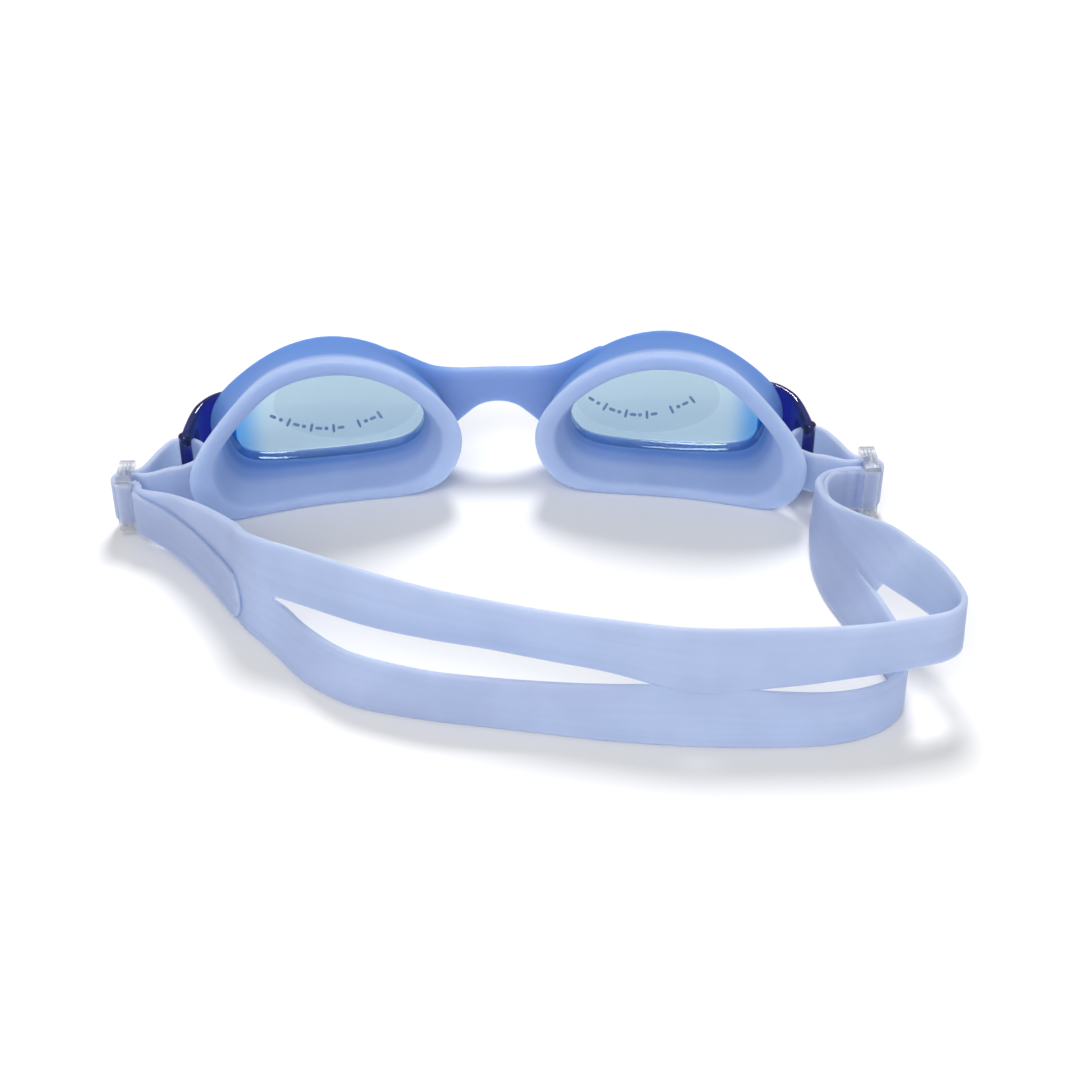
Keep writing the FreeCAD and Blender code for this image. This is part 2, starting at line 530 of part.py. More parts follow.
# ---- write the parts ----------------------------------------------------------------------
def main():
    right_lens = lens()
    left_lens = mirrored(right_lens)
    right_film = film()
    right_buckle = buckle()
    parts = {"face_frame": face_frame([right_lens, left_lens]),
             "lens_left": left_lens,
             "lens_right": right_lens,
             "protective_film_left": mirrored(right_film),
             "protective_film_right": right_film,
             "buckle_left": mirrored(right_buckle),
             "buckle_right": right_buckle,
             "strap": strap()}
    box = Part.makeCompound(list(parts.values())).optimalBoundingBox(False)
    to_origin = Vector(-(box.XMin + box.XMax) / 2, -(box.YMin + box.YMax) / 2, -box.ZMin)
    os.makedirs("parts", exist_ok=True)
    for name, shape in parts.items():
        shape.translate(to_origin)
        shape.exportStep("parts/" + name + ".step")
        bounds = shape.optimalBoundingBox(False)
        print(name, shape.isValid(), len(shape.Solids), round(shape.Volume, 1),
              [round(v, 2) for v in (bounds.XMin, bounds.YMin, bounds.ZMin,
                                     bounds.XMax, bounds.YMax, bounds.ZMax)])
    print("moved by", [round(v, 3) for v in to_origin])


main()
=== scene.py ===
"""Swim goggles lying on their brow edge, cheek edge up, with the head strap looped behind them."""
import math

import bpy
import numpy as np
from bpy.props import FloatProperty, FloatVectorProperty, PointerProperty
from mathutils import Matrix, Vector


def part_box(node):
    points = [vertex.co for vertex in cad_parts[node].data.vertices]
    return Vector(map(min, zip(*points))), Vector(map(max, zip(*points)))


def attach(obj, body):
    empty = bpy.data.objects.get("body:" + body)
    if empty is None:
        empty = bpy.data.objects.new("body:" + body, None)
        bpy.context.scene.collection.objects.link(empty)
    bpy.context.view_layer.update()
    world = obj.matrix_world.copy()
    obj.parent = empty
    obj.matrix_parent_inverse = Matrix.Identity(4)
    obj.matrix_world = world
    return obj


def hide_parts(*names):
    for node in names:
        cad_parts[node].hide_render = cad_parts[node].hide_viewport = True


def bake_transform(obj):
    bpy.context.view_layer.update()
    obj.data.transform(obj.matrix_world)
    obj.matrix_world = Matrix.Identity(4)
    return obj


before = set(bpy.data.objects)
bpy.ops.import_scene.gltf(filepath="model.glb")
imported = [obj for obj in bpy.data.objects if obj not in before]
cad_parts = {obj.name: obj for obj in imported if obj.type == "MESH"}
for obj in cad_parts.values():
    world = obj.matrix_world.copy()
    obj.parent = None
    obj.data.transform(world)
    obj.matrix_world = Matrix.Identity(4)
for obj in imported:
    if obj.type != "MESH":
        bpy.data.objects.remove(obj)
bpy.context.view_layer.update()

bl_info = {
    "name": "Swim goggles",
    "version": (1, 0, 0),
    "blender": (4, 5, 0),
    "location": "View3D > Sidebar > Goggles",
    "description": "Builds the silicone frame, lenses, films and strap of swim goggles",
    "category": "Object",
}

FRAME_LOW, FRAME_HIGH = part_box("face_frame")
FILM_LOW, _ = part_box("protective_film_right")

MM = 0.001
# Where the maker's own axes lie: middle of the nose, front of the silicone, surface underneath.
ORIGIN = np.array([(FRAME_LOW.x + FRAME_HIGH.x) / 2, FRAME_HIGH.y, FILM_LOW.z - 4.6 * MM])
SIDES = (("left", -1.0), ("right", 1.0))

# Outlines of one eye as shares of width and height: nose, brow, temple, back over the cheek.
RIM_SHAPE = np.array([
    (0.000, 0.366), (0.080, 0.094), (0.280, 0.000), (0.584, 0.000), (0.840, 0.000),
    (0.960, 0.105), (1.000, 0.314), (0.960, 0.524), (0.856, 0.733), (0.712, 0.932),
    (0.536, 1.000), (0.360, 0.969), (0.184, 0.832), (0.048, 0.615)])
OPENING_SHAPE = np.array([
    (0.000, 0.392), (0.062, 0.163), (0.242, 0.049), (0.543, 0.000), (0.833, 0.019),
    (0.959, 0.141), (1.000, 0.365), (0.966, 0.574), (0.854, 0.757), (0.693, 0.920),
    (0.500, 1.000), (0.307, 0.947), (0.146, 0.795), (0.043, 0.612)])

# Nose bridge sections: reach as a share of the lens nose end, rise of the lower edge, rise of
# the upper edge (mm), growth of the depth.
BRIDGE_FLARE = np.array([
    (0.00, 0.0, 0.0, 1.00), (0.25, -1.0, 0.0, 1.03), (0.48, -4.2, 0.1, 1.15),
    (0.69, -7.2, 0.5, 1.33), (0.88, -5.2, 1.2, 1.48), (1.13, 4.8, 2.9, 1.20),
    (1.39, 10.9, 4.9, 0.76)])

# Strap stations in mm, lower edge then upper edge, from the slider to where the bands part.
LEFT_YOKE = np.array([
    [(-83.6, -32.0, 2.9), (-83.6, -32.0, 13.3)], [(-82.5, -33.5, 2.9), (-82.5, -33.5, 13.3)],
    [(-81.4, -36.4, 2.3), (-81.2, -36.2, 13.6)], [(-74.2, -42.0, 0.9), (-73.6, -41.0, 15.2)],
    [(-66.6, -51.0, 0.2), (-65.8, -49.2, 17.7)], [(-58.9, -63.0, 0.0), (-57.7, -60.6, 21.0)],
    [(-55.6, -69.6, 0.0), (-54.4, -67.0, 22.8)], [(-52.4, -74.2, 0.0), (-51.0, -70.4, 23.8)],
    [(-49.0, -78.4, 0.0), (-47.6, -72.2, 24.0)]])
RIGHT_YOKE = np.array([
    [(83.6, -32.05, 3.1), (83.6, -32.05, 13.3)], [(82.2, -32.05, 3.1), (82.2, -32.05, 13.3)],
    [(79.4, -32.3, 3.15), (79.4, -32.25, 13.3)], [(74.9, -35.0, 2.9), (75.0, -34.8, 13.9)],
    [(72.2, -39.4, 2.4), (72.5, -39.3, 14.3)], [(71.0, -46.4, 1.2), (73.6, -47.2, 14.9)],
    [(70.4, -54.4, 0.2), (77.6, -54.4, 16.4)], [(71.2, -63.6, 0.0), (83.4, -63.0, 18.8)],
    [(73.2, -71.8, 0.0), (86.6, -70.8, 20.6)], [(73.9, -74.0, 0.0), (87.3, -72.8, 21.0)]])
# The two bands behind the head, left yoke to right yoke.
UPPER_BAND = np.array([
    [(-55.0, -68.3, 11.8), (-54.4, -67.1, 22.5)],
    [(-51.9, -72.5, 11.8), (-51.0, -70.4, 23.5)], [(-46.8, -75.9, 12.1), (-46.2, -72.8, 23.7)],
    [(-41.4, -79.0, 12.2), (-41.0, -75.4, 23.6)], [(-28.6, -85.8, 12.0), (-28.4, -82.6, 23.6)],
    [(-16.2, -90.6, 12.0), (-16.0, -89.0, 23.7)], [(-4.0, -94.2, 12.0), (-4.0, -93.8, 23.8)],
    [(8.0, -98.4, 12.0), (8.0, -97.8, 23.8)], [(20.0, -102.6, 12.1), (20.0, -101.0, 23.8)],
    [(37.0, -109.0, 11.5), (37.0, -104.4, 23.8)], [(55.0, -108.4, 11.8), (55.0, -105.0, 23.8)],
    [(70.0, -106.2, 12.1), (70.0, -104.8, 23.9)], [(82.0, -103.6, 12.1), (81.8, -102.8, 24.0)],
    [(89.0, -101.2, 12.1), (88.6, -100.8, 24.0)], [(92.2, -97.2, 12.0), (91.8, -96.8, 24.0)],
    [(91.2, -91.0, 11.8), (91.6, -90.2, 23.7)], [(87.0, -83.0, 11.5), (90.0, -81.8, 22.8)],
    [(82.8, -76.4, 11.1), (87.8, -75.0, 21.6)], [(80.6, -72.6, 10.8), (86.4, -70.9, 20.4)],
    [(77.5, -63.3, 9.8), (83.1, -63.0, 18.4)]])
LOWER_BAND = np.array([
    [(-55.6, -69.5, 0.3), (-55.0, -68.4, 11.2)],
    [(-52.4, -74.2, 0.1), (-51.7, -72.4, 11.3)], [(-47.4, -81.0, 0.0), (-46.6, -77.0, 11.2)],
    [(-42.0, -88.6, 0.0), (-41.4, -84.2, 11.2)], [(-35.2, -94.6, 0.0), (-34.8, -91.4, 11.4)],
    [(-28.8, -98.2, 0.0), (-28.4, -95.8, 11.6)], [(-16.4, -101.8, 0.0), (-16.2, -100.8, 11.7)],
    [(-4.4, -104.4, 0.0), (-4.2, -103.4, 11.7)], [(7.8, -107.0, 0.0), (7.8, -105.2, 11.7)],
    [(20.0, -109.6, 0.0), (20.0, -106.2, 11.6)], [(37.0, -112.0, 0.0), (37.0, -106.9, 11.6)],
    [(53.0, -112.8, 0.0), (53.0, -109.6, 11.6)], [(65.0, -112.2, 0.0), (65.0, -110.2, 11.6)],
    [(74.0, -109.2, 0.0), (73.8, -108.2, 11.7)], [(79.4, -104.2, 0.0), (79.2, -103.8, 11.7)],
    [(81.0, -98.0, 0.0), (81.2, -98.2, 11.6)], [(79.8, -90.6, 0.0), (81.4, -91.0, 11.4)],
    [(77.0, -83.0, 0.0), (80.4, -83.4, 11.1)], [(74.8, -76.4, 0.0), (79.4, -76.8, 10.4)],
    [(73.4, -71.8, 0.0), (78.6, -71.9, 9.6)], [(71.5, -63.6, 0.3), (76.9, -63.3, 8.7)]])
# Right strap end in plan, mm: slider bar (inner layer), round the post, slider bar (outer
# layer). The third number is how much of the rise to the post the point has made.
POST_PLAN = np.array([
    (83.6, -28.2, 0.0), (80.4, -28.85, 0.2), (76.0, -27.9, 0.6), (72.6, -27.5, 0.85),
    (69.6, -25.3, 1.0), (68.7, -21.8, 1.0), (69.6, -18.3, 1.0), (72.6, -16.1, 1.0),
    (76.2, -16.1, 0.9), (79.0, -19.3, 0.45), (81.6, -25.05, 0.2), (83.6, -26.7, 0.0)])


# The post in plan, the wing's lower and upper edge, and the middle and half size of the wing's
# window for the strap, seen from the side (mm).
POST = (72.6, -21.8)
WING_LOW, WING_HIGH = 2.6, 19.4
WINDOW_MIDDLE, WINDOW_HALF = (-17.2, 9.8), (4.3, 6.3)
# Where the strap ends run through the sliders: lower edge and width (mm).
SLOT_LOW, SLOT_WIDTH = 3.0, 10.1


# ---- sizes and colours ----------------------------------------------------------------------
def length(name, description, default):
    return FloatProperty(name=name, description=description, default=default, unit="LENGTH",
                         precision=5)


def colour(name, description, default):
    return FloatVectorProperty(name=name, description=description, default=default,
                               subtype="COLOR", size=3, min=0.0, max=1.0)


class CupSizes(bpy.types.PropertyGroup):
    """Sizes of the eye cups and the nose bridge."""

    nose_gap: length("Nose gap", "Between the two sealing rims at the nose", 0.017)
    rim_width: length("Rim width", "One sealing rim, nose to temple", 0.0625)
    rim_height: length("Rim height", "One sealing rim, brow to cheek", 0.0382)
    lip_nose: length("Lip at nose", "Width of the sealing lip at the nose", 0.0046)
    lip_temple: length("Lip at temple", "Width of the sealing lip at the temple", 0.0054)
    lip_brow: length("Lip at brow", "Width of the sealing lip at the brow", 0.0028)
    lip_cheek: length("Lip at cheek", "Width of the sealing lip at the cheek", 0.0036)
    depth: length("Cup depth", "Lens front to sealing lip beside the nose", 0.020)
    wrap: length("Temple wrap", "How much further back the lip reaches at the temple", 0.013)
    waist: length("Waist", "How far the temple wall draws in to clear the strap", 0.0038)
    edge: length("Front edge", "Silicone around the clear opening", 0.0045)
    edge_brow: length("Front edge at brow", "Silicone below the clear opening", 0.0023)
    bridge_height: length("Bridge height", "Nose bridge at the middle", 0.009)
    bridge_depth: length("Bridge depth", "Nose bridge, front to back", 0.0042)
    bridge_middle: length("Bridge middle", "Height of the middle of the bridge", 0.0202)


class LensSizes(bpy.types.PropertyGroup):
    """Sizes of the lenses and their films."""

    width: length("Lens width", "Clear opening, nose to temple", 0.0466)
    height: length("Lens height", "Clear opening, brow to cheek", 0.0263)
    nose_end: length("Nose end", "Nose end of the clear opening from the middle", 0.0177)
    brow_edge: length("Brow edge", "Brow edge of the clear opening", 0.0027)
    sweep: length("Sweep", "How far the lens front falls back at the temple", 0.004)
    skirt_wall: length("Skirt wall", "Clear wall that the silicone grips", 0.0012)
    skirt_depth: length("Skirt depth", "Front face to the back edge of that wall", 0.0058)
    proud: length("Proud", "Lens front ahead of the silicone", 0.0004)
    plate: length("Plate", "Lens plate thickness", 0.0018)
    wing: length("Wing", "Thickness of the side wing", 0.0019)
    film: length("Film", "Thickness of the peel-off film", 0.00025)
    film_width: length("Film width", "Peel-off film, nose to temple", 0.035)
    film_height: length("Film height", "Peel-off film, brow to cheek", 0.0205)


class StrapSizes(bpy.types.PropertyGroup):
    """Sizes of the strap."""

    thickness: length("Thickness", "Thickness of the bands", 0.0014)
    yoke_thickness: length("Yoke thickness", "Thickness where the two bands join", 0.0019)
    end_width: length("End width", "Width of the single strap end", 0.0104)
    layer: length("Layer", "One layer where the strap end is drawn round the slider bar",
                  0.00118)
    tail_gap: length("Tail gap", "Middle of the tail to middle of the strap below it", 0.00142)


class Finishes(bpy.types.PropertyGroup):
    """Colours of the materials."""

    rim: colour("Sealing rim", "Frosted silicone, away from the lens", (0.372, 0.436, 0.575))
    wall: colour("Cup wall", "Silicone close to the lens", (0.065, 0.155, 0.41))
    strap: colour("Strap", "Frosted silicone of the strap", (0.318, 0.342, 0.43))
    lens: colour("Lens", "Tint of the lens plate", (0.50, 0.68, 0.81))
    lens_temple: colour("Lens at temple", "Tint toward the temple end", (0.12, 0.38, 0.80))
    wing: colour("Side wing", "Deep tint of the side wing and post", (0.008, 0.012, 0.22))
    slider: colour("Slider", "Clear plastic of the sliders", (0.97, 0.98, 1.0))
    marks: colour("Film marks", "Printed marks on the film", (0.34, 0.44, 0.78))


# ---- surfaces -------------------------------------------------------------------------------
def closed_weights(count, samples, degree):
    """Weights of a closed even curve: each sample leans on its three or four nearest poles."""
    at = np.arange(samples) * count / samples
    first = np.floor(at).astype(int)
    u = at - first
    if degree == 3:
        parts = ((1 - u) ** 3, 3 * u ** 3 - 6 * u ** 2 + 4,
                 -3 * u ** 3 + 3 * u ** 2 + 3 * u + 1, u ** 3)
        parts = [part / 6 for part in parts]
    else:
        parts = [(1 - u) ** 2 / 2, (1 + 2 * u - 2 * u ** 2) / 2, u ** 2 / 2]
    weights = np.zeros((samples, count))
    for step, part in enumerate(parts):
        np.add.at(weights, (np.arange(samples), (first + step - 1) % count), part)
    return weights


def closed_poles(points):
    """Poles of the closed cubic through the points, which run along the last but one axis.

    A point is one sixth of its pole's neighbours plus four sixths of its own pole, which a
    Fourier transform undoes by dividing by (4 + 2 cos) / 6."""
    count = points.shape[-2]
    share = (4 + 2 * np.cos(2 * np.pi * np.arange(count) / count)) / 6
    return np.real(np.fft.ifft(np.fft.fft(points, axis=-2) / share[:, None], axis=-2))


def open_weights(count, samples):
    """Weights of an open smooth curve through its points: each sample is the cubic whose
    slopes at the two nearest points are half the run between their neighbours."""
    at = np.linspace(0, count - 1, samples)
    first = np.minimum(np.floor(at).astype(int), count - 2)
    u = at - first
    parts = ((-u ** 3 + 2 * u ** 2 - u) / 2, (3 * u ** 3 - 5 * u ** 2 + 2) / 2,
             (-3 * u ** 3 + 4 * u ** 2 + u) / 2, (u ** 3 - u ** 2) / 2)
    weights = np.zeros((samples, count + 2))
    for step, part in enumerate(parts):
        np.add.at(weights, (np.arange(samples), first + step), part)
    inner = weights[:, 1:-1].copy()
    inner[:, 0] += 2 * weights[:, 0]
    inner[:, 1] -= weights[:, 0]
    inner[:, -1] += 2 * weights[:, -1]
    inner[:, -2] -= weights[:, -1]
    return inner


def placed(points):
    """Points from the maker's own axes to their place."""
    return points + ORIGIN


def sheet_faces(rows, columns, closed_rows):
    """Quads of a grid that is closed along its columns, and along its rows if asked."""
    down = np.arange(rows if closed_rows else rows - 1)[:, None]
    along = np.arange(columns)[None, :]
    next_down, next_along = (down + 1) % rows, (along + 1) % columns
    corners = (down * columns + along, down * columns + next_along,
               next_down * columns + next_along, next_down * columns + along)
    return np.stack([np.broadcast_to(c, (len(down), columns)) for c in corners],
                    axis=-1).reshape(-1, 4)


def enclosed(points, faces):
    """Six times the volume inside quads, with its sign."""
    a, b, c, d = (points[faces[:, i]] for i in range(4))
    return float(np.sum(a * (np.cross(b, c) + np.cross(c, d))))


def piece_from_grid(name, grid, closed_rows):
    """One object from a grid of points; open grids get a flat face at each end."""
    rows, columns = grid.shape[:2]
    points = grid.reshape(-1, 3)
    faces = sheet_faces(rows, columns, closed_rows)
    turned = enclosed(points - points.mean(axis=0), faces) < 0
    if turned:
        faces = faces[:, ::-1]
    lists = faces.tolist()
    if not closed_rows:
        start, end = np.arange(columns), np.arange(columns) + (rows - 1) * columns
        ends = (start, end[::-1]) if turned else (start[::-1], end)
        lists += [side.tolist() for side in ends]
    mesh = bpy.data.meshes.new(name)
    mesh.from_pydata(points.tolist(), [], lists)
    mesh.validate()
    piece = bpy.data.objects.new(name, mesh)
    bpy.context.scene.collection.objects.link(piece)
    return piece


def combined(piece, tools):
    """Cuts or joins the tools to the piece in turn, and drops them."""
    for tool, kind in tools:
        step = piece.modifiers.new(kind.title(), "BOOLEAN")
        step.operation = kind
        step.solver = "EXACT"
        step.object = tool
    bpy.context.view_layer.update()
    ready = piece.evaluated_get(bpy.context.evaluated_depsgraph_get())
    mesh = bpy.data.meshes.new_from_object(ready)
    piece.modifiers.clear()
    piece.data = mesh
    for tool, _ in tools:
        bpy.data.objects.remove(tool)
    return piece


def run_together(piece, grain, rounds):
    """Makes one skin of the joined shapes and relaxes it, so that they flow into each other."""
    skin = piece.modifiers.new("Skin", "REMESH")
    skin.mode = "VOXEL"
    skin.voxel_size = grain
    relax = piece.modifiers.new("Relax", "SMOOTH")
    relax.factor = 0.5
    relax.iterations = rounds
    return combined(piece, [])


def smooth(piece, angle):
    """Shades the piece smooth, but for edges that turn by more than the angle in degrees."""
    piece.data.polygons.foreach_set("use_smooth", np.ones(len(piece.data.polygons), bool))
    piece.data.set_sharp_from_angle(angle=math.radians(angle))
    piece.data.materials.clear()


def point_attribute(piece, name, values):
    """Stores one number per point for the material to read."""
    layer = piece.data.attributes.new(name, "FLOAT", "POINT")
    layer.data.foreach_set("value", np.asarray(values, np.float32).ravel())


def point_array(piece):
    """The piece's points in the maker's own axes."""
    flat = np.empty(len(piece.data.vertices) * 3, np.float32)
    piece.data.vertices.foreach_get("co", flat)
    return flat.reshape(-1, 3).astype(float) - ORIGIN


# ---- frame ----------------------------------------------------------------------------------
def outline(shape, x_from, width, z_from, height):
    """Outline at the shape's shares of the width and height."""
    return np.array([x_from, z_from]) + shape * np.array([width, height])


def front_y(lens, x):
    """Front of the silicone: falls back with the cube of the way to the temple."""
    return -lens.sweep * np.maximum(0.0, (x - lens.nose_end) / lens.width) ** 3


def lip_y(cup, x):
    """Back of the sealing lip: cup depth plus the wrap times the way to the temple, raised."""
    share = np.maximum(0.0, (x - cup.nose_gap / 2) / cup.rim_width)
    return -cup.depth - cup.wrap * share ** 2.2


def raised(flat, y):
    """The outline with a Y for each of its points."""
    return np.stack([flat[:, 0], y, flat[:, 1]], axis=-1)


def opening(lens, grow, grow_brow):
    """The clear opening's outline, grown at its sides and cheek, and at its brow."""
    return outline(OPENING_SHAPE, lens.nose_end - grow, lens.width + 2 * grow,
                   lens.brow_edge - grow_brow, lens.height + grow + grow_brow)


def cup_rows(cup, lens):
    """Corners of the cup's wall section, one closed outline each: front edge, flaring wall,
    sealing lip, and back along the inside."""
    middle = lens.nose_end + lens.width / 2
    reach = lens.width / 2 + cup.edge

    def drawn_in(flat, most):
        share = np.maximum(0.0, (flat[:, 0] - middle) / reach)
        return flat - np.stack([most * share ** 3, np.zeros(len(flat))], axis=-1)

    front = opening(lens, cup.edge, cup.edge_brow)
    clear = opening(lens, 0.0, 0.0)
    rim = outline(RIM_SHAPE, cup.nose_gap / 2, cup.rim_width, 0.0, cup.rim_height)
    lip = outline(RIM_SHAPE, cup.nose_gap / 2 + cup.lip_nose,
                  cup.rim_width - cup.lip_nose - cup.lip_temple, cup.lip_brow,
                  cup.rim_height - cup.lip_brow - cup.lip_cheek)
    waist = drawn_in(front + (rim - front) * 0.22, cup.waist * 0.7)
    flare = drawn_in(front + (rim - front) * 0.66, cup.waist)
    inside, deep = lip + (clear - lip) * 0.14, lip + (clear - lip) * 0.70
    ahead = lambda flat: front_y(lens, flat[:, 0])
    behind = lambda flat: lip_y(cup, flat[:, 0])
    return np.stack([
        raised(front, ahead(front)), raised(front, ahead(front) - 2.6 * MM),
        raised(waist, 0.62 * ahead(waist) + 0.38 * behind(waist)),
        raised(flare, 0.26 * ahead(flare) + 0.74 * behind(flare)),
        raised(rim, behind(rim) + 1.6 * MM), raised(rim, behind(rim) - 0.5 * MM),
        raised(lip, behind(lip) - 0.2 * MM), raised(inside, behind(inside) + 2.2 * MM),
        raised(deep, 0.5 * ahead(deep) + 0.5 * behind(deep)),
        raised(clear, ahead(clear) - lens.skirt_depth - 1.0 * MM),
        raised(clear, ahead(clear))])


def cup_piece(cup, lens, side):
    """Eye cup: the wall section rounded off its corners, carried round through the outlines."""
    rows = cup_rows(cup, lens) * np.array([side, 1.0, 1.0])
    across = closed_weights(len(rows), len(rows) * 7, 2)
    around = closed_weights(rows.shape[1], rows.shape[1] * 14, 3)
    grid = np.einsum("ai,bj,ijk->abk", across, around, closed_poles(rows))
    return piece_from_grid("cup", placed(grid), True)


def bridge_piece(cup, lens):
    """Nose bridge: rounded sections whose height, middle and depth follow the flare."""
    share, below, above, grow = BRIDGE_FLARE.T
    half = np.stack([lens.nose_end * share, cup.bridge_height + (above - below) * MM,
                     cup.bridge_depth * grow,
                     cup.bridge_middle + (above + below) * MM / 2], axis=-1)
    other = half[:0:-1] * np.array([-1.0, 1.0, 1.0, 1.0])
    sections = np.concatenate([other, half])
    turn = np.arange(8) * math.pi / 4
    flat = np.where(np.arange(8) % 2 == 1, 1.12, 1.0)
    x, height, depth, middle = (sections[:, i:i + 1] for i in range(4))
    points = np.stack([np.broadcast_to(x, (len(x), 8)),
                       -depth / 2 - 0.2 * MM + np.cos(turn) * depth / 2 * flat,
                       middle + np.sin(turn) * height / 2 * flat], axis=-1)
    grid = np.einsum("ai,bj,ijk->abk", open_weights(len(x), 121),
                     closed_weights(8, 56, 3), closed_poles(points))
    return piece_from_grid("face_frame_silicone", placed(grid), False)


def block_piece(name, flat, front, back, side):
    """Block inside a closed outline between two depths: both ends are rings that shrink to
    the middle of the outline, so that they follow the sweep."""
    around = closed_weights(len(flat), len(flat) * 12, 3) @ closed_poles(flat)
    shrink = np.array([0.02, 0.25, 0.5, 0.75, 1.0])
    middle = around.mean(axis=0)
    rings = middle + (around - middle) * shrink[:, None, None]
    rings = np.concatenate([rings, rings[::-1]])
    depth = np.where(np.arange(len(rings))[:, None] < len(shrink), front(rings[..., 0]),
                     back(rings[..., 0]))
    grid = np.stack([rings[..., 0] * side, depth, rings[..., 1]], axis=-1)
    return piece_from_grid(name, placed(grid), False)


def blueness(cup, lens, points):
    """How much of the deeper colour each point has: on the outer wall it sets in just ahead of
    the lip, inside only near the lens, and toward the top of the cup it is painted shade. The
    depth share runs from lip to front, and a point is outside where its distance from the lens
    axis passes the middle of the wall at its angle."""
    x, y, z = np.abs(points[:, 0]), points[:, 1], points[:, 2]
    near, back = front_y(lens, x), lip_y(cup, x)
    share = np.clip((y - back) / (near - back), 0.0, 1.0)
    axis = np.array([lens.nose_end + lens.width / 2, lens.brow_edge + lens.height / 2])
    rows = cup_rows(cup, lens)[:, :, [0, 2]]
    around = closed_weights(rows.shape[1], 280, 3)
    angle = np.arctan2(z - axis[1], x - axis[0])

    def reach(index):
        edge = around @ closed_poles(rows[index]) - axis
        return np.interp(angle, np.arctan2(edge[:, 1], edge[:, 0]),
                         np.hypot(edge[:, 0], edge[:, 1]), period=2 * math.pi)

    at_front = (reach(0) + reach(10)) / 2
    at_lip = (reach(4) + reach(6)) / 2
    middle = at_front * share + at_lip * (1 - share)
    outside = np.clip((np.hypot(x - axis[0], z - axis[1]) - middle) / (0.8 * MM) + 0.5, 0.0, 1.0)
    outer = np.clip((share - 0.10) / 0.30, 0.0, 1.0)
    inner = np.clip((share - 0.28) / 0.42, 0.0, 1.0) ** 1.4
    in_bridge = np.clip(1.35 - x / (lens.nose_end * 0.8), 0.0, 1.0)
    # Painted shade: the deeper colour rises toward the top of the cup, darkening the top where the
    # light falls strongest and leaving the shaded low lip pale.
    high = 0.35 * np.clip(z / cup.rim_height - 0.3, 0.0, 0.7)
    blue = np.maximum(outer * outside + inner * (1 - outside), high)
    return blue * (1 - 0.55 * in_bridge)


# ---- lenses and films -----------------------------------------------------------------------
def lens_piece(lens, side, name):
    """Lens plate and skirt: outlines shrunk to the middle for the faces and grown for the wall,
    each set back from the swept front, with a narrow bevel on every edge."""
    wall, proud = lens.skirt_wall, lens.proud
    inside, back = proud - lens.plate, -lens.skirt_depth
    soft = 0.22 * MM
    rings = [(wall, share, proud) for share in (0.02, 0.2, 0.4, 0.6, 0.8, 0.93)]
    rings += [(wall - soft, 1.0, proud), (wall - 0.3 * soft, 1.0, proud - 0.3 * soft),
              (wall, 1.0, proud - soft), (wall, 1.0, -2.6 * MM), (wall, 1.0, back + soft),
              (wall - soft, 1.0, back), (soft, 1.0, back), (0.0, 1.0, back + soft),
              (0.0, 1.0, -3.4 * MM), (0.0, 1.0, inside - 2 * soft),
              (0.0, 0.985, inside - 0.1 * soft)]
    rings += [(0.0, share, inside) for share in (0.96, 0.9, 0.8, 0.6, 0.4, 0.2, 0.02)]
    base = opening(lens, 0.0, 0.0)
    middle = (base.min(axis=0) + base.max(axis=0)) / 2
    around = closed_weights(len(base), len(base) * 14, 3)
    grid = []
    for grow, share, depth in rings:
        edge = around @ closed_poles(opening(lens, grow, grow))
        flat = middle + (edge - middle) * share
        grid.append(np.stack([flat[:, 0] * side, front_y(lens, flat[:, 0]) + depth, flat[:, 1]],
                             axis=-1))
    return piece_from_grid(name, placed(np.stack(grid)), False)


def wing_piece(lens, side, name):
    """Side wing: an upright band along its plan path, round at its edges."""
    path = np.array([(63.4, -4.3, 20.9), (67.4, -5.9, 20.5), (70.3, -8.9, 19.9),
                     (71.6, -12.4, WING_HIGH), (72.2, -17.0, WING_HIGH), (*POST, WING_HIGH)])
    high = path * np.array([side, 1.0, 1.0])
    low = high * np.array([1.0, 1.0, 0.0]) + np.array([0.0, 0.0, WING_LOW])
    return piece_from_grid(name, placed(band_grid(np.stack([low, high], axis=1) * MM,
                                                  lens.wing, 60)), False)


def round_bar(radius, plan, low, high, soft):
    """Upright round bar: circles whose radius is less at both ends."""
    turn = np.linspace(0.0, 2 * math.pi, 32, endpoint=False)
    levels = np.array([(low, radius * 0.3), (low, radius - soft), (low + soft, radius),
                       (high - soft, radius), (high, radius - soft), (high, radius * 0.3)])
    grid = np.stack([plan[0] + levels[:, 1:] * np.cos(turn),
                     plan[1] + levels[:, 1:] * np.sin(turn),
                     np.broadcast_to(levels[:, :1], (len(levels), 32))], axis=-1)
    return piece_from_grid("bar", placed(grid * MM), False)


def window_piece(side):
    """Window through the wing for the strap: a box with round corners, seen from the side."""
    turn = np.linspace(0.0, 2 * math.pi, 48, endpoint=False)
    power = lambda v: np.sign(v) * np.abs(v) ** 0.22
    round_box = np.stack([power(np.cos(turn)), power(np.sin(turn))], axis=-1)
    flat = np.array(WINDOW_MIDDLE) + np.array(WINDOW_HALF) * round_box
    x = np.array([66.4, 78.8]) * side
    grid = np.stack([np.stack([np.full(48, at), flat[:, 0], flat[:, 1]], axis=-1) for at in x])
    return piece_from_grid("window", placed(grid * MM), False)


